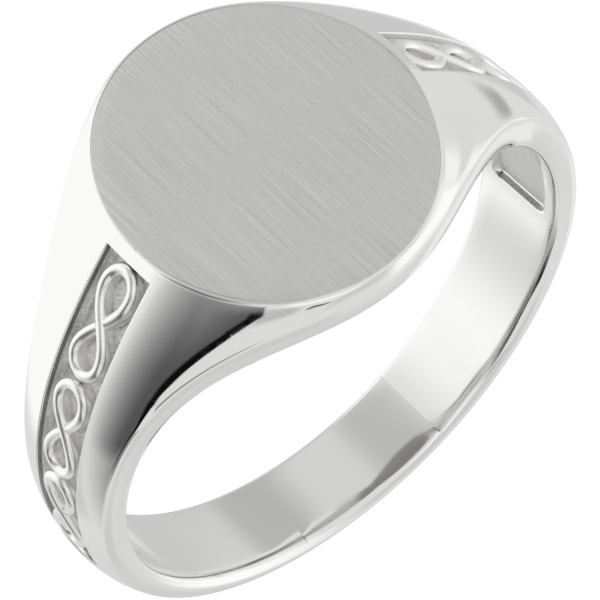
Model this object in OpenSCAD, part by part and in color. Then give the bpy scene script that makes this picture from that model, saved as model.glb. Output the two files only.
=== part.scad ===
// Signet ring with a flat oval table, flared shoulders and infinity wires in a channel on each shoulder.
// The origin is the centre of the finger hole, Y runs along the finger and +Z points to the table.

/* [Finger hole] */
// Diameter of the finger hole
bore_d = 19.8; // [16:0.1:23]
// Rounding of the edges of the finger hole
edge_r = 0.2; // [0.1:0.05:0.3]

/* [Band] */
// Width of the band at the back of the finger
band_w = 3.7; // [3.2:0.1:5]
// Width that the band gains on its way up to the shoulders
band_gain = 1.3; // [0.6:0.1:2]
// Thickness of the band at its crown
band_t = 1.42; // [1.3:0.02:2]
// Height of the side wall at the back of the finger
wall_h = 0.75; // [0.5:0.05:0.9]
// Angle from the table at which the wall's extra height under the head has fallen to a third
wall_angle = 75; // [50:1:85]
// How far the side wall stands out in its middle
wall_bulge = 0.07; // [0.02:0.01:0.1]
// Rounding of the edge where the side wall turns into the dome
corner_r = 0.2; // [0.1:0.05:0.3]

/* [Head] */
// Length of the table along the finger
table_len = 12.6; // [11:0.1:14]
// Width of the table across the finger
table_w = 11; // [9:0.1:13]
// Height of the table above the finger hole
table_rise = 1.65; // [1.4:0.05:2]
// Rounding between the head's side wall and the ends of the table
head_round = 0.12; // [0.08:0.01:0.2]
// Angle from the table at which the head's flare has fallen to a third
flare_angle = 36; // [30:1:45]
// Angle over which the shoulder line falls to a third of its height above the band
shoulder_angle = 20.4; // [12:0.2:30]

/* [Table plate] */
// Thickness of the plate that is let into the head
plate_t = 0.5; // [0.3:0.05:0.8]
// Width of the polished rim that the head keeps round the plate
plate_rim = 0.06; // [0.05:0.01:0.2]
// Bevel round the plate's upper edge
plate_bevel = 0.03; // [0.02:0.01:0.1]

/* [Shoulder channels] */
// Width of a channel
channel_w = 2.2; // [2:0.02:2.4]
// Depth from the crown to the patterned floor
channel_depth = 0.55; // [0.5:0.01:0.6]
// Gap between the table's tip and the upper end of a channel
channel_margin = 0.5; // [0.4:0.05:0.8]
// Angle from the table at which a channel ends
channel_end = 98; // [94:0.5:108]
// Thickness of the strip that makes a channel's floor
strip_t = 0.15; // [0.1:0.01:0.2]

/* [Infinity wires] */
// Number of infinity wires on a shoulder
eight_count = 3; // [2:1:3]
// Gap between two figures
eight_gap = 0.18; // [0.12:0.02:0.6]
// Plain stretch of floor past the last figure
eight_tail = 0.35; // [0.2:0.05:1.2]
// Width of one figure, along the middle of its wire
eight_w = 1.24; // [1.1:0.02:1.5]
// Width of the wire
wire_w = 0.4; // [0.3:0.01:0.46]
// Height of the wire above the floor
wire_h = 0.5; // [0.42:0.01:0.52]
// Clear gap between the wire's ends and the strand that passes over them
wire_gap = 0.04; // [0.03:0.01:0.12]

/* [Hollows inside the shoulders] */
// Depth of a hollow
hollow_depth = 0.25; // [0.15:0.01:0.35]
// Width of the land between a hollow and the edge of the band
hollow_land = 0.7; // [0.5:0.05:0.9]
// Angle from the table at which a hollow starts
hollow_start = 36; // [32:1:50]
// Angle from the table at which a hollow ends
hollow_end = 100.5; // [90:0.5:110]
// Radius of a hollow's corners
hollow_corner = 0.5; // [0.2:0.05:0.7]

/* [Hidden] */
metal = "gainsboro";
brushed = "silver";
matte = "darkgray";
bright = "whitesmoke";

// Solder clearance round every piece that is let in
fit_gap = 0.01;
// Half width of the flat facet along the crown
crown_flat = 0.35;
// Largest share of the head's rim that the wall's bulge takes
bulge_share = 0.6;
// Angle short of the table's tip at which the shoulders' dome has its final fullness
full_margin = 0.2;
// How far cutters and inner sections run past the face that they cut
past = 0.3;
head_steps = 12;
band_steps = 76;
ellipse_steps = 72;
channel_steps = 28;
wire_steps = 48;
// Shares of the way from the crown down to the corner, along the corner's curve and up the side wall
dome_shares = [1, 0.9, 0.76, 0.58, 0.36, 0];
corner_shares = [0, 0.33, 0.67];
wall_shares = [0, 0.33, 0.67];
// Step over which the dome's slope is measured
slope_step = 0.002;

bore_r = bore_d / 2;
table_z = bore_r + table_rise;
tip_angle = atan(table_w / 2 / table_z);
head_w = table_len + 2 * head_round;
flare = (head_w - band_w - band_gain) / 2;
wall_gain = table_rise - head_round - wall_h;
shoulder_lift = norm([table_w / 2, table_z]) - bore_r - band_t;
channel_start = tip_angle + degrees(channel_margin, crown(tip_angle));
pitch_angle = (channel_end - degrees(eight_tail, crown(channel_end)) - channel_start) / eight_count;

// Angle that a length takes at a radius
function degrees(length, r) = length / r * 180 / PI;

// Profile of the ring, by the angle from the table
function band_half(p) = band_w / 2 + band_gain / 2 * (1 + cos(p)) / 2 + flare * exp(-pow(p / flare_angle, 2));
function wall_top(p) = bore_r + wall_h + wall_gain * exp(-pow(p / wall_angle, 2));
function crown(p) = bore_r + band_t + shoulder_lift * exp(-(abs(p) - tip_angle) / shoulder_angle);
function under_table(p) = abs(p) < tip_angle;
function table_half(p) =
    under_table(p) ? table_len / 2 * sqrt(1 - pow(table_z * tan(p) / (table_w / 2), 2)) : 0;
function floor_r(p) = crown(p) - channel_depth;
function on_ring(p, r, y) = [r * sin(p), y, r * cos(p)];

// Top of the dome, which goes on above the table with the crown's slope and curvature at the table's tip
function apex(p) =
    under_table(p)
    ? let (
        s = p / tip_angle,
        k = tip_angle / shoulder_angle,
        fourth = shoulder_lift * (k * k + k) / 8,
        second = -shoulder_lift * k / 2 - 2 * fourth
    ) crown(tip_angle) + second * (pow(s, 2) - 1) + fourth * (pow(s, 4) - 1)
    : crown(p);

// Fullness with which the table's plane cuts the dome in the table's oval: 1 is a parabola, 0.5 an ellipse
function dome_power(p) =
    let (q = min(abs(p), tip_angle - full_margin), low = wall_top(q))
    ln((table_z / cos(q) - low) / (apex(q) - low)) / ln(1 - pow(table_half(q) / band_half(q), 2));
function dome(p, y) =
    let (low = wall_top(p))
    low + (apex(p) - low) * pow(1 - pow(y / band_half(p), 2), dome_power(p));

// One side of a section: rounded finger edge, barrelled side wall, rounded corner, then the dome
function section_half(p) =
    let (
        h = band_half(p),
        bulge = min(wall_bulge, bulge_share * (h - table_half(p))),
        foot = h - bulge,
        turn = min(corner_r, (foot - table_half(p)) / 2),
        top = max(crown_flat, table_half(p)),
        dome_y = foot - turn,
        dome_r = dome(p, dome_y),
        corner = dome_r - turn * (dome(p, dome_y - slope_step) - dome_r) / slope_step,
        wall_foot = bore_r + edge_r,
        wall_end = corner - turn,
        k = 1 - sqrt(0.5)
    )
    concat(
        [[bore_r - past, foot - edge_r - past * (1 - k) / k], [bore_r + k * edge_r, foot - k * edge_r]],
        [
            for (u = wall_shares)
                [wall_foot + (wall_end - wall_foot) * u, foot + bulge * (1 - pow(2 * u - 1, 2))]
        ],
        [
            for (u = corner_shares)
                let (r = pow(1 - u, 2) * wall_end + 2 * u * (1 - u) * corner + u * u * dome_r)
                [r, foot - turn * u * u]
        ],
        [for (u = dome_shares) let (y = top + (dome_y - top) * u) [dome(p, y), y]]
    );

function section(p) =
    let (half = section_half(p), last = len(half) - 1)
    concat(
        [for (q = half) on_ring(p, q[0], q[1])],
        [for (i = [last:-1:0]) on_ring(p, half[i][0], -half[i][1])]
    );

// Angles at which the ring is cut: even steps along the table's outline, then even steps round the band
function ring_angles() = concat(
    [for (k = [1 - head_steps:head_steps - 1]) atan(table_w / 2 * sin(90 * k / head_steps) / table_z)],
    [
        for (k = [0:band_steps])
            let (p = tip_angle + (360 - 2 * tip_angle) * k / band_steps)
            p > 180 ? p - 360 : p
    ]
);

// Skin over a list of rings, either closed on itself or capped at both ends
module skin(rings, closed = false) {
    m = len(rings[0]);
    n = len(rings);
    sides = [
        for (i = [0:closed ? n - 1 : n - 2], j = [0:m - 1])
            let (i2 = (i + 1) % n * m, j2 = (j + 1) % m)
            each [[i * m + j, i2 + j2, i * m + j2], [i * m + j, i2 + j, i2 + j2]]
    ];
    caps = closed ? [] : [[for (j = [0:m - 1]) j], [for (j = [m - 1:-1:0]) (n - 1) * m + j]];
    polyhedron([for (r = rings) each r], concat(sides, caps), convexity = 10);
}

// Oval outline that stays a fixed width inside the table's edge
function oval(inset) = [
    for (k = [0:ellipse_steps - 1])
        let (t = 360 * k / ellipse_steps)
        [(table_w / 2 - inset) * cos(t), (table_len / 2 - inset) * sin(t)]
];

// Rectangular bar that follows the right shoulder, from one angle to another
function bar_angles(from, to) = [for (k = [0:channel_steps]) from + (to - from) * k / channel_steps];
function bar_ring(p, half, low, high) = [
    on_ring(p, low, -half), on_ring(p, low, half), on_ring(p, high, half), on_ring(p, high, -half)
];

module channel_cut() {
    half = channel_w / 2;
    skin([
        for (p = bar_angles(channel_start, channel_end))
            bar_ring(p, half, floor_r(p) - strip_t, crown(p) + past)
    ]);
}

// A hollow keeps a land of even width along the band, and its corners are round
module hollow_cut() {
    span = degrees(hollow_corner, bore_r);
    round_in = [for (k = [0:4]) span * (1 - cos(22.5 * k))];
    from_top = [for (d = round_in) [hollow_start + d, d]];
    middle = [
        for (k = [1:channel_steps - 1])
            [hollow_start + span + (hollow_end - hollow_start - 2 * span) * k / channel_steps, span]
    ];
    to_end = [for (k = [4:-1:0]) [hollow_end - round_in[k], round_in[k]]];
    skin([
        for (e = concat(from_top, middle, to_end))
            let (
                share = 1 - e[1] / span,
                corner = hollow_corner * (1 - sqrt(max(0, 1 - share * share))),
                half = band_half(e[0]) - hollow_land - corner
            )
            bar_ring(e[0], half, bore_r - past, bore_r + hollow_depth)
    ]);
}

module on_both_shoulders() {
    children();
    mirror([1, 0, 0]) children();
}

module on_shoulder(side) {
    if (side == "left") mirror([1, 0, 0]) children();
    else children();
}

module ring_body() {
    color(metal) difference() {
        skin([for (p = ring_angles()) section(p)], closed = true);
        rotate([90, 0, 0]) cylinder(h = 2 * head_w, r = bore_r, center = true, $fn = 96);
        translate([0, 0, table_z - plate_t]) linear_extrude(plate_t + past) polygon(oval(plate_rim));
        on_both_shoulders() {
            channel_cut();
            hollow_cut();
        }
    }
}

module table_plate() {
    edge = plate_rim + fit_gap;
    levels = [
        [table_z - plate_t, edge],
        [table_z - plate_bevel, edge],
        [table_z, edge + plate_bevel]
    ];
    color(brushed) skin([for (l = levels) [for (q = oval(l[1])) [q[0], q[1], l[0]]]]);
}

module channel_strip(side) {
    half = channel_w / 2 - fit_gap;
    play = degrees(fit_gap, floor_r(channel_end));
    first = bar_angles(channel_start, channel_end);
    last = len(first) - 1;
    color(matte) on_shoulder(side) skin([
        for (k = [0:last])
            let (p = first[k] + (k == 0 ? play : k == last ? -play : 0))
            bar_ring(p, half, floor_r(p) - strip_t, floor_r(p))
    ]);
}

// Size of the wire's rounded ends, as a share of its full section
end_size = 0.6;
// Middle line of a figure: x along the shoulder, y along the finger, loops a little rounder than a lemniscate
loop_round = 0.05;
function eight(t, length) = [
    length / 2 * (cos(t) + loop_round * cos(3 * t)) / (1 + loop_round),
    -eight_w / 2 * sin(2 * t)
];
function heading(t, length) = let (d = eight(t + 0.5, length) - eight(t - 0.5, length)) d / norm(d);

// Rounded upright section of the wire: across, up
function wire_section(size) =
    let (w = wire_w / 2 * size, top = wire_h - wire_w / 2 * (1 - size))
    concat([[-w, 0], [w, 0]], [for (a = [0:45:180]) [w * cos(a), top - w + w * sin(a)]]);

// The wire starts beside its own middle strand, goes round both loops and ends on the strand's other side
module infinity(side, i) {
    middle = channel_start + pitch_angle * (i - 0.5);
    r = floor_r(middle);
    length = pitch_angle * PI / 180 * r - eight_gap - wire_w;
    along_strand = heading(90, length);
    cross_angle = 2 * atan(abs(along_strand[1] / along_strand[0]));
    reach = (wire_w / 2 * (1 + abs(cos(cross_angle))) + wire_gap) / sin(cross_angle);
    turn = reach / norm(eight(90.5, length) - eight(89.5, length));
    stations = [for (k = [0:wire_steps]) turn - 90 + (360 - 2 * turn) * k / wire_steps];
    color(bright) on_shoulder(side) skin([
        for (k = [0:wire_steps])
            let (
                c = eight(stations[k], length),
                d = heading(stations[k], length),
                size = k == 0 || k == wire_steps ? end_size : 1
            )
            [
                for (q = wire_section(size))
                    let (
                        along = c[0] - d[1] * q[0],
                        across = c[1] + d[0] * q[0],
                        p = middle + degrees(along, r)
                    )
                    on_ring(p, floor_r(p) + q[1], across)
            ]
    ]);
}

ring_body();
table_plate();
for (side = ["left", "right"]) {
    channel_strip(side);
    for (i = [1:eight_count]) {
        infinity(side, i);
    }
}
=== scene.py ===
import math

import bmesh
import bpy
import numpy as np
from mathutils import Matrix, Vector


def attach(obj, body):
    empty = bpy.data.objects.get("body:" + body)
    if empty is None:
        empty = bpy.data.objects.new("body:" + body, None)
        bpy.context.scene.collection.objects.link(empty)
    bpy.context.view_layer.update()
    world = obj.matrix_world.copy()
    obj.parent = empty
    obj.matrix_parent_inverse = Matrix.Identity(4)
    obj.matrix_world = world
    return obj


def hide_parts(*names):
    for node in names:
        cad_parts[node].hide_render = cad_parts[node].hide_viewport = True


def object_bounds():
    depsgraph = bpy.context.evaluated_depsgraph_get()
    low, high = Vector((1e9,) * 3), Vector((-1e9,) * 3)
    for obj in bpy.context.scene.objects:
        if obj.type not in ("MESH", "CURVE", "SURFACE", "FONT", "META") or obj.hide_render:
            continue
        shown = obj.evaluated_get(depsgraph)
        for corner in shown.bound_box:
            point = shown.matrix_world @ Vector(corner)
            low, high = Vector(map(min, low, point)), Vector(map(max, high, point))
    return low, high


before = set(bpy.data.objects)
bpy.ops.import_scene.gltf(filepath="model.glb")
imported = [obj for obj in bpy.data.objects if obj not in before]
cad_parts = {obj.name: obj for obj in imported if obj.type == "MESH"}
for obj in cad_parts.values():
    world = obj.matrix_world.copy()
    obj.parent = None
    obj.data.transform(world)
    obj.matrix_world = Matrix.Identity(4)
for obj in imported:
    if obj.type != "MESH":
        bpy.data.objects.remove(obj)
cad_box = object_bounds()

MM = 0.001

# Sizes of the CAD model, in millimetres, and in degrees from the table
BORE_R = 9.9
EDGE_R = 0.2
BAND_W, BAND_GAIN, BAND_T = 3.7, 1.3, 1.42
WALL_H, WALL_ANGLE, WALL_BULGE, CORNER = 0.75, 75, 0.07, 0.2
TABLE_A, TABLE_B, TABLE_RISE = 5.5, 6.3, 1.65
HEAD_ROUND = 0.12
FLARE_ANGLE, SHOULDER_ANGLE = 36, 20.4
PLATE_T, PLATE_RIM, PLATE_BEVEL, FIT_GAP = 0.5, 0.06, 0.03, 0.01
CHANNEL_HALF, CHANNEL_DEPTH, CHANNEL_MARGIN = 1.1, 0.55, 0.5
CHANNEL_END, CHANNEL_TAIL = 98, 0.35
STRIP_T = 0.15
EIGHT_COUNT, EIGHT_GAP, EIGHT_W, LOOP_ROUND = 3, 0.18, 1.24, 0.05
WIRE_W, WIRE_H, WIRE_GAP = 0.4, 0.5, 0.04
HOLLOW_DEPTH, HOLLOW_LAND, HOLLOW_CORNER = 0.25, 0.7, 0.5
HOLLOW_START, HOLLOW_END = 36, 100.5

TABLE_Z = BORE_R + TABLE_RISE
TIP = math.degrees(math.atan(TABLE_A / TABLE_Z))
FLARE = (2 * (TABLE_B + HEAD_ROUND) - BAND_W - BAND_GAIN) / 2
WALL_GAIN = TABLE_RISE - HEAD_ROUND - WALL_H
LIFT = math.hypot(TABLE_A, TABLE_Z) - BORE_R - BAND_T

# Forms that are finer, softer or fuller than the CAD model's
RIM, RIM_START = 0.05, 0.3
WALL_STEP, SEAT_STEP = 0.02, 0.005
BULGE_SHARE, CLOSE_W = 0.6, 0.3
LIP = 0.26
TABLE_SOFT, TABLE_SOFT_END = 0.12, 2
DOME_EASE, DOME_EASE_ANGLE, DOME_MARGIN = 0.034, 10, 0.2
CRISPER, CRISPER_START, CRISPER_RUN = 0.09, 44, 7
EDGE_SOFT, EDGE_SWELL = 0.46, 0.42
SEAM, SEAM_RUN, SEAM_CUT = 160.5, 16, 0.06
SWELL_BEFORE, SWELL_BEFORE_RUN = 0.7, 8
SWELL_RUN, SWELL_END, SWELL_FADE = 5, 184, 14
STIPPLE = 0.008
FILLET_W, FILLET_H = 0.2, 0.24
GROOVE, GROOVE_W = 0.05, 0.1
WIRE_FULL, WIRE_CROWN, WIRE_CLOSER = 0.46, 0.23, 0.14
WIRE_DIP, WIRE_DIP_STEPS = 0.07, 18

# Points of the body's sections, from the middle of the finger hole outwards
HOLLOW_FLOOR = (0, 0.3, 0.6, 0.85)
LIP_POINTS, EDGE_POINTS, WALL_POINTS, CORNER_POINTS = 9, 13, 11, 10
DOME_POINTS, CLOSE_POINTS = 20, 10
RIM_DROPS = ((0.6, 0.004), (0.25, 0.018), (0.0, 0.05))
CHANNEL_SHARES = (1, 0.66, 0.33, 0.0)
HOLLOW_COUNT = len(HOLLOW_FLOOR) + LIP_POINTS + 1
BORE_COUNT = HOLLOW_COUNT + 10
CHANNEL_COUNT = len(CHANNEL_SHARES) + 1

# Finishes of the body, as the indices of its materials, and the angle where the satin finger hole starts;
# before it the hole under the head takes the darker casting finish, which is painted shade
POLISHED, CAST_PAINTED_SHADE, MATTE, SATIN = range(4)
UNDERSIDE = 33


# Profile of the ring by the angle from the table
def band_half(p):
    gain = BAND_GAIN / 2 * (1 + np.cos(np.radians(p))) / 2
    return BAND_W / 2 + gain + FLARE * np.exp(-((p / FLARE_ANGLE) ** 2))


def wall_top(p):
    return BORE_R + WALL_H + WALL_GAIN * np.exp(-((p / WALL_ANGLE) ** 2))


def crown(p):
    return BORE_R + BAND_T + LIFT * np.exp(-(np.abs(p) - TIP) / SHOULDER_ANGLE)


def table_half(p, inset=0.0):
    x = TABLE_Z * np.tan(np.radians(p)) / (TABLE_A - inset)
    return (TABLE_B - inset) * np.sqrt(np.maximum(0, 1 - x * x))


def degrees(length, r):
    """Angle of a length along a circle"""
    return np.degrees(length / r)


CHANNEL_START = TIP + degrees(CHANNEL_MARGIN, crown(TIP))
PITCH = (CHANNEL_END - degrees(CHANNEL_TAIL, crown(CHANNEL_END)) - CHANNEL_START) / EIGHT_COUNT


def floor_r(p):
    return crown(p) - CHANNEL_DEPTH


def smooth(t):
    t = np.clip(t, 0, 1)
    return t * t * (3 - 2 * t)


def apex(p):
    """Top of the shoulders' dome, which goes on above the table with the crown's own slope and curvature"""
    if p >= TIP:
        return crown(p)
    k = TIP / SHOULDER_ANGLE
    fourth = LIFT * (k * k + k) / 8
    second = -LIFT * k / 2 - 2 * fourth
    s = p / TIP
    return crown(TIP) + second * (s ** 2 - 1) + fourth * (s ** 4 - 1)


def dome_power(p):
    """Fullness of the dome: the table's plane cuts it in the table's oval, and past the tip it eases off"""
    q = min(p, TIP - DOME_MARGIN)
    low = wall_top(q)
    share = (TABLE_Z / math.cos(math.radians(q)) - low) / (apex(q) - low)
    power = math.log(share) / math.log(1 - (table_half(q) / band_half(q)) ** 2)
    return power - DOME_EASE * (1 - math.exp((q - p) / DOME_EASE_ANGLE))


# Sections of the body
def end_share(p, start, end, r, width):
    """0 outside a cut that runs from one angle to another, 1 inside, with end walls of some width"""
    return np.clip(np.minimum(p - start, end - p) * math.pi / 180 * r / width, 0, 1)


def edge_soft(p):
    """Width of the finger hole's worn edge, which swells behind the seam, and a little before it"""
    if p < SEAM:
        near = smooth((p - SEAM + SWELL_BEFORE_RUN) / SWELL_BEFORE_RUN)
        return EDGE_SOFT + EDGE_SWELL * SWELL_BEFORE * near
    return EDGE_SOFT + EDGE_SWELL * smooth((p - SEAM) / SWELL_RUN) * smooth((SWELL_END - p) / SWELL_FADE)


def seam(p, pts):
    """Section with the finger hole ground a little deeper towards the seam, where it steps back"""
    run = max(0, (p - SEAM + SEAM_RUN) / SEAM_RUN) if p <= SEAM else 0
    ground = []
    for r, y in pts:
        share = min(max(1 - (r - BORE_R) / EDGE_R, 0), 1)
        ground.append((r + SEAM_CUT * run ** 2 * share, y))
    return ground


def soft_min(a, b):
    """The lower of two heights, rounded where they meet"""
    near = max(TABLE_SOFT - abs(a - b), 0) / TABLE_SOFT
    return min(a, b) - near * near * TABLE_SOFT / 4


def hole_points(p, h):
    """Points (r, y) over the hollow's floor and lip, and where the lip ends"""
    share = smooth(end_share(p, HOLLOW_START, HOLLOW_END, BORE_R, LIP))
    s = min(p - HOLLOW_START, HOLLOW_END - p) * math.pi / 180 * BORE_R
    k = np.clip(1 - s / HOLLOW_CORNER, 0, 1)
    edge = h - HOLLOW_LAND - HOLLOW_CORNER * (1 - math.sqrt(1 - k * k))
    pts = [(BORE_R + HOLLOW_DEPTH * share, f * (edge - LIP)) for f in HOLLOW_FLOOR]
    for f in np.linspace(1, 0, LIP_POINTS):
        pts.append((BORE_R + HOLLOW_DEPTH * share * smooth(f), edge - LIP * f))
    return pts, edge


def wall_points(p, foot, bulge, top_edge, dome):
    """Points up the barrelled side wall and round the corner to the dome, and where the dome starts"""
    step = 0.002
    crisp = CORNER - CRISPER * smooth((p - CRISPER_START) / CRISPER_RUN)
    turn = min(crisp, 0.5 * (foot - top_edge))
    y_dome = foot - turn
    r_dome = dome(y_dome)
    lean = (dome(y_dome) - dome(y_dome - step)) / step
    bottom = BORE_R + EDGE_R
    wall_end = min(r_dome + lean * turn - 1.2 * turn, r_dome - turn)
    tall = wall_end - bottom
    slope = -4 * bulge / tall
    y_corner = (foot + slope * (r_dome - lean * y_dome - wall_end)) / (1 - slope * lean)
    r_corner = r_dome + lean * (y_corner - y_dome)
    pts = []
    for q in np.linspace(0, 1, WALL_POINTS)[1:]:
        pts.append((bottom + tall * q, foot + bulge * (1 - (2 * q - 1) ** 2)))
    for q in np.linspace(0, 1, CORNER_POINTS)[1:-1]:
        w = ((1 - q) ** 2, 2 * q * (1 - q), q * q)
        r = w[0] * wall_end + w[1] * r_corner + w[2] * r_dome
        pts.append((r, w[0] * foot + w[1] * y_corner + w[2] * y_dome))
    return pts, y_dome


def seat_points(p, top_edge, dome):
    """Points over the table's rim and down into the plate's seat"""
    gap = 0.005
    x = TABLE_Z * math.tan(math.radians(p))
    seat = float(table_half(p, PLATE_RIM)) if x < TABLE_A - PLATE_RIM else 0.0
    drop = PLATE_T * np.clip((TABLE_A - PLATE_RIM - x) / SEAT_STEP, 0, 1)
    slant = math.cos(math.radians(p))
    pts = []
    for f in (0.25, 0.5, 0.75, 1):
        y = top_edge + (seat - top_edge) * f
        pts.append((dome(y), y))
    inner = max(0.0, seat - gap)
    return pts + [((TABLE_Z - drop) / slant, inner * f) for f in (1, 0.5, 0)]


def channel_points(p, blend, dome):
    """Points over the channel's rim, down its wall and across its base"""
    gap = 0.004
    share = end_share(p, CHANNEL_START, CHANNEL_END, crown(p), WALL_STEP)
    base = floor_r(p) - STRIP_T
    pts = []
    for f, d in RIM_DROPS:
        y = blend * (CHANNEL_HALF + RIM * f)
        pts.append((dome(y) - d * share, y))
    for f in CHANNEL_SHARES:
        y = blend * (CHANNEL_HALF - gap) * f
        pts.append((dome(y) + (base - dome(y)) * share, y))
    return pts


def half_section(p, soft):
    """Points (r, y) from the finger hole to the middle of the top, for a width of the hole's worn edge"""
    h, low, high, power = band_half(p), wall_top(p), apex(p), dome_power(p)
    inside = p < TIP
    top_edge = table_half(p) if inside else 0.0
    plane = TABLE_Z / math.cos(math.radians(p)) if p < TIP + TABLE_SOFT_END else math.inf

    def dome(y):
        return soft_min(low + (high - low) * max(0, 1 - (y / h) ** 2) ** power, plane)

    pts, edge = hole_points(p, h)
    bulge = min(WALL_BULGE, BULGE_SHARE * (h - top_edge))
    foot = h - bulge
    pts.append((BORE_R, edge + (foot - soft - edge) * 0.5))
    for a in np.radians(np.linspace(0, 90, EDGE_POINTS)):
        pts.append((BORE_R + EDGE_R * (1 - math.cos(a)), foot - soft * (1 - math.sin(a))))
    wall, y_dome = wall_points(p, foot, bulge, top_edge, dome)
    pts += wall
    blend = 0.0 if inside else smooth((p - TIP) / (CHANNEL_START - RIM_START - TIP))
    end = top_edge if inside else (CHANNEL_HALF + RIM) * blend
    close = end + min(CLOSE_W, 0.5 * (y_dome - end))
    for y in (*np.linspace(y_dome, close, DOME_POINTS), *np.linspace(close, end, CLOSE_POINTS)[1:]):
        pts.append((dome(y), y))
    return pts + (seat_points(p, top_edge, dome) if inside else channel_points(p, blend, dome))


def half_angles():
    """Angles from the table at which the body has sections, closer together where its form changes fast"""
    least = 0.004
    table = np.degrees(np.arctan(TABLE_A * np.sin(np.linspace(0, math.pi / 2, 49)) / TABLE_Z))
    table[-1] = TIP
    seat = TABLE_A - PLATE_RIM - SEAT_STEP * np.array([0, 0.5, 1])
    lists = [
        table,
        np.linspace(TIP, CHANNEL_START, 16),
        np.linspace(CHANNEL_START, CHANNEL_END, 140),
        np.linspace(CHANNEL_END, 180, 90),
        TIP + np.linspace(-0.7, 0.7, 15),
        np.degrees(np.arctan(seat / TABLE_Z)),
        SEAM + np.array([-0.4, -0.2, -0.1, 0, 0.5, 0.7]),
    ]
    channel_wall = np.array([-0.06, 0.005, 0.01, WALL_STEP, 0.06])
    lists.append(CHANNEL_START + degrees(channel_wall, crown(CHANNEL_START)))
    lists.append(CHANNEL_END - degrees(channel_wall, crown(CHANNEL_END)))
    hollow_wall = np.array([-0.05, *np.linspace(0, 0.16, 9), 0.2, 0.25, 0.3, 0.35, 0.4, 0.5])
    lists.append(HOLLOW_START + degrees(hollow_wall, BORE_R))
    lists.append(HOLLOW_END - degrees(hollow_wall, BORE_R))
    angles = np.unique(np.round(np.concatenate(lists), 5))
    keep = [angles[0]]
    for p in angles[1:]:
        if p - keep[-1] > least:
            keep.append(p)
    return keep


def finishes(p, side, pts):
    """Finish of each point of a section, with painted shade as the darker casting finish on the left
    channel's walls, the hollows' end walls and the hole under the head
    """
    sunk, floor, full = BORE_R + 0.02, BORE_R + HOLLOW_DEPTH - 0.02, BORE_R + HOLLOW_DEPTH - 0.01
    in_channel = CHANNEL_START < p < CHANNEL_END
    end_wall = pts[0][0] < full
    kinds = []
    for j, (r, _) in enumerate(pts):
        in_hollow = j < HOLLOW_COUNT
        if in_channel and j >= len(pts) - CHANNEL_COUNT:
            # Painted shade: the left channel's walls take the darker casting finish, the right channel's
            # walls the matte one
            kinds.append(CAST_PAINTED_SHADE if side < 0 else MATTE)
        elif in_hollow and p <= HOLLOW_END and sunk < r < full:
            # Painted shade: the hollows' end walls take the darker casting finish, the rest of their slopes
            # the matte one
            kinds.append(CAST_PAINTED_SHADE if end_wall else MATTE)
        elif in_hollow and r > floor:
            kinds.append(MATTE)
        elif j < BORE_COUNT and r < BORE_R + EDGE_R / 2:
            # Painted shade: the finger hole under the head takes the darker casting finish, the rest of it
            # the satin one
            kinds.append(CAST_PAINTED_SHADE if p < UNDERSIDE else SATIN)
        else:
            kinds.append(POLISHED)
    return kinds


# Meshes
def place(p, r, y):
    a = math.radians(p)
    return (r * math.sin(a) * MM, y * MM, r * math.cos(a) * MM)


def grid_faces(rows, columns, closed_rows=False, closed_columns=False):
    faces = []
    for i in range(rows if closed_rows else rows - 1):
        for j in range(columns if closed_columns else columns - 1):
            below, beside = (i + 1) % rows, (j + 1) % columns
            corners = ((i, j), (below, j), (below, beside), (i, beside))
            faces.append(tuple(row * columns + column for row, column in corners))
    return faces


def capped_faces(rows, columns, side):
    """Faces of a closed tube with both its ends, turned the right way round for its side of the ring"""
    last = (rows - 1) * columns
    faces = grid_faces(rows, columns, closed_columns=True)
    faces += [tuple(range(columns)), tuple(range(last + columns - 1, last - 1, -1))]
    return faces if side > 0 else [tuple(reversed(face)) for face in faces]


def new_object(name, verts, faces, material, sharp=35):
    mesh = bpy.data.meshes.new(name)
    mesh.from_pydata(verts, [], faces)
    shape = bmesh.new()
    shape.from_mesh(mesh)
    bmesh.ops.recalc_face_normals(shape, faces=shape.faces)
    shape.to_mesh(mesh)
    shape.free()
    mesh.shade_smooth()
    mesh.set_sharp_from_angle(angle=math.radians(sharp))
    obj = bpy.data.objects.new(name, mesh)
    bpy.context.scene.collection.objects.link(obj)
    obj.data.materials.append(material)
    return obj


def ring_body(polish, cast_painted_shade, matte, satin):
    """Body with a polished outside, matte hollows and a satin hole, and painted shade: a darker casting
    finish on the left channel's walls, the hollows' end walls and the hole under the head
    """
    half = half_angles()
    angles = [(p, 1) for p in half] + [(p, -1) for p in reversed(half[1:-1])]
    verts, finish = [], []
    for p, side in angles:
        far, near = half_section(p, EDGE_R), half_section(p, edge_soft(p))
        if side > 0:
            far, near = seam(p, far), seam(p, near)
        kinds = finishes(p, side, far)
        finish += kinds + kinds[-2:0:-1]
        verts += [place(side * p, r, y) for r, y in far]
        verts += [place(side * p, r, -y) for r, y in near[-2:0:-1]]
    rows = len(angles)
    faces = grid_faces(rows, len(verts) // rows, closed_rows=True, closed_columns=True)
    obj = new_object("ring_body_polished", verts, faces, polish)
    for material in (cast_painted_shade, matte, satin):
        obj.data.materials.append(material)
    for face in obj.data.polygons:
        kinds = {finish[v] for v in face.vertices}
        mixed = SATIN if SATIN in kinds else POLISHED
        face.material_index = kinds.pop() if len(kinds) == 1 else mixed
    return obj


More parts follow.
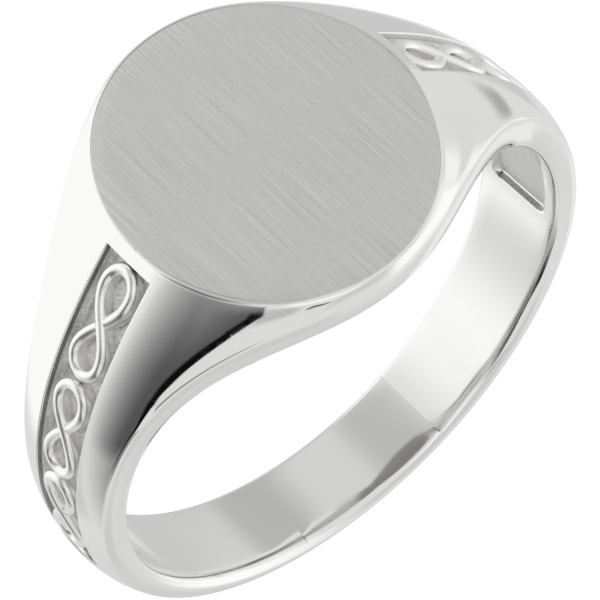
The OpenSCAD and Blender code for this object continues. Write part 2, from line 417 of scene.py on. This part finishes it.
def table_plate(material):
    """Oval plate with a rounded upper edge, in rings from the middle of its top to the middle of its foot"""
    segments, middle, foot_round, brush_span = 240, 0.3, 0.02, 20
    edge, foot = PLATE_RIM + FIT_GAP, TABLE_Z - PLATE_T

    def scaled(share):
        return share * (TABLE_A - middle), share * (TABLE_B - middle)

    def inset(gap):
        return TABLE_A - gap, TABLE_B - gap

    rings = [(*scaled(f), TABLE_Z) for f in (0.02, 0.2, 0.4, 0.6, 0.8, 0.93)]
    for a in np.radians(np.linspace(0, 90, 6)):
        gap, down = PLATE_BEVEL * (1 - math.sin(a)), PLATE_BEVEL * (1 - math.cos(a))
        rings.append((*inset(edge + gap), TABLE_Z - down))
    rings += [(*inset(edge), foot + foot_round), (*scaled(0.9), foot), (*scaled(0.02), foot)]
    verts = []
    for a, b, z in rings:
        for t in np.linspace(0, 2 * math.pi, segments, endpoint=False):
            verts.append((a * math.cos(t) * MM, b * math.sin(t) * MM, z * MM))
    obj = new_object("table_plate_brushed", verts, capped_faces(len(rings), segments, 1), material)
    uv = obj.data.uv_layers.new(name="brush")
    for loop in obj.data.loops:
        v = obj.data.vertices[loop.vertex_index].co
        uv.data[loop.index].uv = (v.x / (brush_span * MM) + 0.5, v.y / (brush_span * MM) + 0.5)
    return obj


def figure(i):
    """Middle angle of a figure of eight, the floor's radius there and the length of its middle line"""
    middle = CHANNEL_START + PITCH * (i - 0.5)
    r = floor_r(middle)
    return middle, r, math.radians(PITCH) * r - EIGHT_GAP - WIRE_W


def eight(t, length):
    c = np.cos(np.radians(t)) + LOOP_ROUND * np.cos(np.radians(3 * t))
    return np.array([length / 2 * c / (1 + LOOP_ROUND), -EIGHT_W / 2 * np.sin(np.radians(2 * t))])


def heading(t, length):
    d = eight(t + 0.5, length) - eight(t - 0.5, length)
    return d / np.linalg.norm(d)


def channel_strip(side, word, material):
    """Strip that makes a channel's floor: stippled, with fillets along its walls and grooves at the wires"""
    rows, columns = 420, 58
    rng = np.random.default_rng(11 if side > 0 else 12)
    half = CHANNEL_HALF - FIT_GAP
    play = degrees(FIT_GAP, floor_r(CHANNEL_END))
    angles = np.linspace(CHANNEL_START + play, CHANNEL_END - play, rows)
    across = np.linspace(-half, half, columns)
    relief = rng.normal(0, 1, (rows, columns))
    for axis in (0, 1):
        relief = (np.roll(relief, 1, axis) + 2 * relief + np.roll(relief, -1, axis)) / 4
    relief *= STIPPLE / relief.std()
    relief[:, [0, -1]] = 0
    relief[[0, -1], :] = 0
    relief += FILLET_H * np.clip((np.abs(across) - half + FILLET_W) / FILLET_W, 0, 1) ** 2
    for i in range(1, EIGHT_COUNT + 1):
        middle, r, length = figure(i)
        line = np.array([eight(t, length) for t in range(0, 360, 3)])
        away = np.radians(angles - middle)[:, None, None] * r - line[:, 0]
        gap = np.sqrt((away ** 2 + (across[:, None] - line[:, 1]) ** 2).min(axis=2))
        relief -= GROOVE * smooth((WIRE_FULL / 2 + GROOVE_W - gap) / GROOVE_W)
    verts = []
    for p, heights in zip(angles, relief):
        top = floor_r(p)
        verts.append(place(side * p, top - STRIP_T, -half))
        verts += [place(side * p, top + up - STIPPLE, y) for up, y in zip(heights, across)]
        verts.append(place(side * p, top - STRIP_T, half))
    faces = capped_faces(rows, columns + 2, side)
    return new_object(word + "_channel_floor", verts, faces, material, sharp=60)


def wire_section(drop):
    """Rounded upright section of the wire: across, up"""
    w, top, foot = WIRE_FULL / 2, WIRE_H - drop, -GROOVE - 0.01
    pts = [(-w, foot), (w, foot)]
    pts += [(w * math.cos(a), top - WIRE_CROWN * (1 - math.sin(a))) for a in np.linspace(0, math.pi, 13)]
    return pts


def infinity(side, word, i, material):
    """Figure of eight: the wire starts beside its own middle strand and ends on the strand's other side"""
    steps = 160
    middle, r, length = figure(i)
    d = heading(90, length)
    cross = 2 * math.atan(abs(d[1] / d[0]))
    reach = (WIRE_W / 2 * (1 + abs(math.cos(cross))) + WIRE_GAP) / math.sin(cross) - WIRE_CLOSER
    turn = reach / np.linalg.norm(eight(90.5, length) - eight(89.5, length))
    verts = []
    for k in range(steps + 1):
        t = turn - 90 + (360 - 2 * turn) * k / steps
        c, d = eight(t, length), heading(t, length)
        near = min(k, steps - k)
        for across, upward in wire_section(WIRE_DIP * (1 - smooth(near / WIRE_DIP_STEPS))):
            p = middle + degrees(c[0] - d[1] * across, r)
            verts.append(place(side * p, floor_r(p) + upward, c[1] + d[0] * across))
    faces = capped_faces(steps + 1, len(wire_section(0)), side)
    return new_object(f"{word}_infinity_wire_{i}", verts, faces, material, sharp=50)


# Materials
SILVER = (0.95, 0.945, 0.94)
PALE = (0.9, 0.895, 0.89)


def principled(name, colour, roughness):
    material = bpy.data.materials.new(name)
    material.use_nodes = True
    shader = material.node_tree.nodes["Principled BSDF"]
    shader.inputs["Base Color"].default_value = (*colour, 1)
    shader.inputs["Metallic"].default_value = 1
    shader.inputs["Roughness"].default_value = roughness
    return material, shader, material.node_tree


def node(tree, kind, **settings):
    made = tree.nodes.new("ShaderNode" + kind)
    for key, value in settings.items():
        setattr(made, key, value)
    return made


def noise(tree, scale, stretch=(1, 1, 1), detail=3.0):
    """Noise in object space, with its grain size in millimetres"""
    where = node(tree, "TexCoord")
    mapping = node(tree, "Mapping")
    mapping.inputs["Scale"].default_value = tuple(k / (scale * MM) for k in stretch)
    texture = node(tree, "TexNoise")
    texture.inputs["Scale"].default_value = 1
    texture.inputs["Detail"].default_value = detail
    tree.links.new(where.outputs["Object"], mapping.inputs["Vector"])
    tree.links.new(mapping.outputs["Vector"], texture.inputs["Vector"])
    return texture.outputs["Fac"]


def spread(tree, value, low, high):
    """Noise value mapped to a range"""
    ramp = node(tree, "MapRange")
    ramp.inputs["From Min"].default_value = 0.3
    ramp.inputs["From Max"].default_value = 0.7
    ramp.inputs["To Min"].default_value = low
    ramp.inputs["To Max"].default_value = high
    tree.links.new(value, ramp.inputs["Value"])
    return ramp.outputs["Result"]


def mottle(tree, shader, value, low, tint):
    """Base colour that varies between a share of a tint and the whole tint"""
    mix = node(tree, "Mix", data_type="RGBA")
    mix.inputs["A"].default_value = (0, 0, 0, 1)
    mix.inputs["B"].default_value = (*tint, 1)
    tree.links.new(spread(tree, value, low, 1), mix.inputs["Factor"])
    tree.links.new(mix.outputs["Result"], shader.inputs["Base Color"])


def roughen(tree, shader, value, low, high):
    tree.links.new(spread(tree, value, low, high), shader.inputs["Roughness"])


def bump(tree, shader, height, distance):
    made = node(tree, "Bump")
    made.inputs["Distance"].default_value = distance * MM
    made.inputs["Strength"].default_value = 1
    tree.links.new(height, made.inputs["Height"])
    tree.links.new(made.outputs["Normal"], shader.inputs["Normal"])


def polished_metal():
    material, shader, tree = principled("polished_metal", SILVER, 0.05)
    roughen(tree, shader, noise(tree, 0.35), 0.03, 0.07)
    return material


def brushed_metal():
    material, shader, tree = principled("brushed_metal", PALE, 0.3)
    lines = noise(tree, 0.05, (1, 0.012, 1), 4)
    mottle(tree, shader, lines, 0.82, (0.89, 0.885, 0.88))
    roughen(tree, shader, noise(tree, 0.03, (1, 0.02, 1)), 0.24, 0.34)
    bump(tree, shader, lines, 0.004)
    shader.inputs["Anisotropic"].default_value = 0.7
    tangent = node(tree, "Tangent", direction_type="UV_MAP", uv_map="brush")
    tree.links.new(tangent.outputs["Tangent"], shader.inputs["Tangent"])
    return material


def matte_metal():
    material, shader, tree = principled("matte_metal", PALE, 0.42)
    grain = noise(tree, 0.05, detail=2)
    mottle(tree, shader, grain, 0.7, (0.98, 0.975, 0.97))
    bump(tree, shader, grain, 0.02)
    return material


def cast_metal_painted_shade():
    # Darker grey base colour: painted shade for the left channel's walls, the hollows' end walls and the
    # hole under the head; the grain, bump and roughness are the casting's own texture
    grey = (0.47, 0.465, 0.46)
    material, shader, tree = principled("cast_metal_painted_shade", grey, 0.35)
    grain = noise(tree, 0.08, detail=2)
    mottle(tree, shader, grain, 0.6, grey)
    bump(tree, shader, grain, 0.006)
    return material


def satin_metal():
    material, shader, tree = principled("satin_metal", SILVER, 0.12)
    roughen(tree, shader, noise(tree, 0.5), 0.1, 0.15)
    return material


def bright_wire():
    material, shader, tree = principled("bright_wire", (0.99, 0.985, 0.98), 0.25)
    roughen(tree, shader, noise(tree, 0.12), 0.22, 0.28)
    return material


# Pieces
def dress(obj, node_name):
    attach(obj, "root")
    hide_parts(node_name)


polished, brushed, matte, wire = polished_metal(), brushed_metal(), matte_metal(), bright_wire()
cast_painted_shade, satin = cast_metal_painted_shade(), satin_metal()
dress(ring_body(polished, cast_painted_shade, matte, satin), "ring_body")
dress(table_plate(brushed), "table_plate")
for side, word in ((-1, "left"), (1, "right")):
    dress(channel_strip(side, word, matte), word + "_channel_strip")
    for i in range(1, EIGHT_COUNT + 1):
        dress(infinity(side, word, i, wire), f"{word}_infinity_{i}")

# Camera at the photograph's viewing angle: distance in millimetres, pixels per millimetre, shift in pixels
AZIMUTH, ELEVATION, ROLL = math.radians(-27.88), math.radians(57.97), math.radians(-14.63)
DISTANCE, SCALE = 119.2, 28.115
SHIFT_X, SHIFT_Y = 11.11, 30.35
SIDE, SENSOR = 600, 36
level = math.cos(ELEVATION)
back = Vector((math.sin(AZIMUTH) * level, -math.cos(AZIMUTH) * level, math.sin(ELEVATION)))
flat = Vector((math.cos(AZIMUTH), math.sin(AZIMUTH), 0))
steep = back.cross(flat)
right = flat * math.cos(ROLL) + steep * math.sin(ROLL)
up = steep * math.cos(ROLL) - flat * math.sin(ROLL)
data = bpy.data.cameras.new("camera")
data.sensor_width = SENSOR
data.lens = SENSOR * SCALE * DISTANCE / SIDE
data.shift_x = -SHIFT_X / SIDE
data.shift_y = SHIFT_Y / SIDE
data.clip_start = 0.01
camera = bpy.data.objects.new("camera", data)
bpy.context.scene.collection.objects.link(camera)
turned = Matrix((right, up, back)).transposed().to_4x4()
camera.matrix_world = Matrix.Translation(back * DISTANCE * MM) @ turned
bpy.context.scene.camera = camera

# Studio: a white surround with soft darker panels, seen by the metal but not by the camera
world = bpy.data.worlds.new("studio")
bpy.context.scene.world = world
world.use_nodes = True
sky = world.node_tree


def math_node(operation, *values):
    made = node(sky, "Math", operation=operation)
    for k, value in enumerate(values):
        if isinstance(value, (int, float)):
            made.inputs[k].default_value = value
        else:
            sky.links.new(value, made.inputs[k])
    return made.outputs[0]


def plus(a, b):
    return math_node("ADD", a, b)


def minus(a, b):
    return math_node("SUBTRACT", a, b)


def at_least(a, b):
    return math_node("MAXIMUM", a, b)


def at_most(a, b):
    return math_node("MINIMUM", a, b)


def product(*values):
    result = values[0]
    for value in values[1:]:
        result = math_node("MULTIPLY", result, value)
    return result


def rise(value, start, end, kind="SMOOTHSTEP"):
    """0 up to the start, 1 from the end on"""
    made = node(sky, "MapRange", interpolation_type=kind)
    made.inputs["From Min"].default_value = start
    made.inputs["From Max"].default_value = end
    sky.links.new(value, made.inputs["Value"])
    return made.outputs["Result"]


def fall(value, start, end, kind="SMOOTHSTEP"):
    return minus(1, rise(value, start, end, kind))


def shade(under, tone, weight):
    """Mix of two tones in stops, as light falls off on a backdrop"""
    kept = math_node("POWER", under, minus(1, weight))
    return product(kept, math_node("POWER", tone, weight))


def panel(under, tone, azimuths, elevations, lean=0):
    """A soft panel of the studio: four azimuths and four elevations from nothing to full and back"""
    at = minus(azimuth, product(elevation, lean))
    beside = product(rise(at, *azimuths[:2]), fall(at, *azimuths[2:]))
    inside = product(beside, rise(elevation, *elevations[:2]), fall(elevation, *elevations[2:]))
    return shade(under, tone, inside)


# Azimuth from the front, -Y, positive towards +X, that wraps round at WRAP; elevation above the horizon
WRAP = 115
where = node(sky, "TexCoord")
axes = node(sky, "SeparateXYZ")
sky.links.new(where.outputs["Generated"], axes.inputs[0])
x, y, z = axes.outputs
c, s = math.cos(math.radians(180 - WRAP)), math.sin(math.radians(180 - WRAP))
front = minus(product(y, -c), product(x, s))
across = minus(product(x, c), product(y, s))
azimuth = minus(product(math_node("ARCTAN2", across, front), 180 / math.pi), 180 - WRAP)
elevation = product(math_node("ARCSINE", z), 180 / math.pi)

# White tent with soft boxes and grey cards
tone = plus(product(rise(elevation, -85, -50), 0.1), 0.64)
tone = panel(tone, 1.0, (-205, -172, -114, -106), (-46, -34, 36, 58))
tone = panel(tone, 0.62, (-126, -114, -112, -105), (-50, -42, -24, 20))
tone = panel(tone, 1.02, (13, 32, 66, 76), (-58, -43, 0, 12))
tone = panel(tone, 0.93, (66, 76, 82, 92), (-50, -40, 0, 12))
tone = panel(tone, 0.85, (66, 78, 98, 112), (-76, -68, -58, -50))
tone = panel(tone, 0.9, (38, 46, 70, 82), (6, 12, 26, 38))
tone = panel(tone, 0.62, (-24, -14, 12, 24), (-46, -38, -8, 2))
tone = panel(tone, 0.62, (-46, -36, -18, 0), (-76, -66, -60, -52))
tone = panel(tone, 0.42, (96, 105, 109, 115), (-27, -24, -22.5, -18))
tone = panel(tone, 0.72, (70, 80, 92, 102), (-12, -9, -7, -4))
tone = panel(tone, 0.6, (-250, -240, -195, -178), (-44, -38, 45, 55))
tone = panel(tone, 0.47, (-250, -246, -232, -222), (8, 20, 34, 46))
tone = panel(tone, 0.51, (-246, -244, -80, -30), (52, 62, 90, 91))
tone = panel(tone, 0.68, (-243, -228, -204, -180), (40, 52, 60, 74))
tone = panel(tone, 0.17, (-124, -104, -94, -66), (28, 44, 48, 60))
tone = panel(tone, 0.93, (-54, -44, -8, 10), (23, 30, 46, 58))
tone = panel(tone, 0.95, (-92, -85, -77, -68), (27, 31, 34, 39))
tone = panel(tone, 0.52, (-66, -58, -46, -36), (16, 20, 22, 26))
tone = panel(tone, 0.12, (-31, -28.5, -26.5, -24), (-14, -8, 12, 17), lean=-0.42)

# Dark card on the left, with a sharp front edge that bends towards the front above and below the horizon
CARD_TONE, CARD_EDGE, CARD_LEVEL, CARD_TOP = 0.09, 81.7, 1, 20.5
above = at_most(at_least(minus(elevation, CARD_LEVEL), 0), CARD_TOP)
below = at_least(minus(CARD_LEVEL, elevation), 0)
bend = math_node("SQRT", plus(math_node("POWER", product(below, 0.9), 2), 4))
bow = product(rise(below, 6, 16), fall(below, 16, 32), 3.2)
edge = plus(minus(bend, CARD_EDGE), plus(product(above, above, 0.05), bow))
behind = minus(edge, azimuth)
depth = plus(product(rise(elevation, -22, -13), 0.6), product(rise(elevation, -56, -20), 0.4))
upper = product(rise(azimuth, -108, -89.5, "LINEAR"), depth)
lower = product(fall(behind, 4, 40, "LINEAR"), rise(elevation, -50, -20), fall(elevation, -20, -8), 0.9)
nearer = product(at_least(plus(azimuth, 84), 0), fall(elevation, 22, 26), 0.6)
fade = fall(minus(elevation, nearer), 6, 44)
front_edge = rise(behind, -0.5, 1)
tone = shade(tone, CARD_TONE, product(at_least(upper, lower), front_edge, fade))

# Black stripe along the card's front edge, that widens downwards
STRIPE_TONE = 0.004
wider = plus(product(above, 0.15), product(at_most(below, 10), 0.45))
wider = plus(wider, product(at_least(minus(below, 10), 0), 1.3))
taper = product(at_least(minus(elevation, 15), 0), 0.15)
stripe = plus(minus(behind, wider), taper)
black = product(front_edge, fall(stripe, 3.5, 6))
black = product(black, rise(elevation, -27, -11), fall(elevation, 21.5, 24))
tone = shade(tone, STRIPE_TONE, black)
tone = panel(tone, 0.2, (-101, -98, -94.5, -92.5), (-48, -44, -36, -28), lean=-1.3)

# White for the camera, the panels for the metal, half as much light for the rest
path = node(sky, "LightPath")
tone = at_least(tone, path.outputs["Is Camera Ray"])
seen = at_least(path.outputs["Is Camera Ray"], path.outputs["Is Glossy Ray"])
seen = at_least(seen, path.outputs["Is Transmission Ray"])
background = sky.nodes["Background"]
sky.links.new(tone, background.inputs["Color"])
sky.links.new(plus(product(seen, 0.5), 0.5), background.inputs["Strength"])

# Floor that is white to the camera and keeps a faint shadow
FLOOR_HALF, FLOOR_GLOW = 0.6, 0.72
signs = ((-1, -1), (1, -1), (1, 1), (-1, 1))
corners = [(a * FLOOR_HALF, b * FLOOR_HALF, cad_box[0][2]) for a, b in signs]
white = bpy.data.materials.new("floor")
white.use_nodes = True
tree = white.node_tree
shader = tree.nodes["Principled BSDF"]
shader.inputs["Base Color"].default_value = (0.85, 0.85, 0.85, 1)
shader.inputs["Roughness"].default_value = 0.9
shader.inputs["Emission Color"].default_value = (1, 1, 1, 1)
light_path = node(tree, "LightPath")
lit = node(tree, "Math", operation="MULTIPLY")
lit.inputs[1].default_value = FLOOR_GLOW
tree.links.new(light_path.outputs["Is Camera Ray"], lit.inputs[0])
tree.links.new(lit.outputs[0], shader.inputs["Emission Strength"])
floor = new_object("floor", corners, [(0, 1, 2, 3)], white)
floor.visible_glossy = False
bpy.context.scene.view_settings.view_transform = "Standard"

bpy.context.view_layer.update()
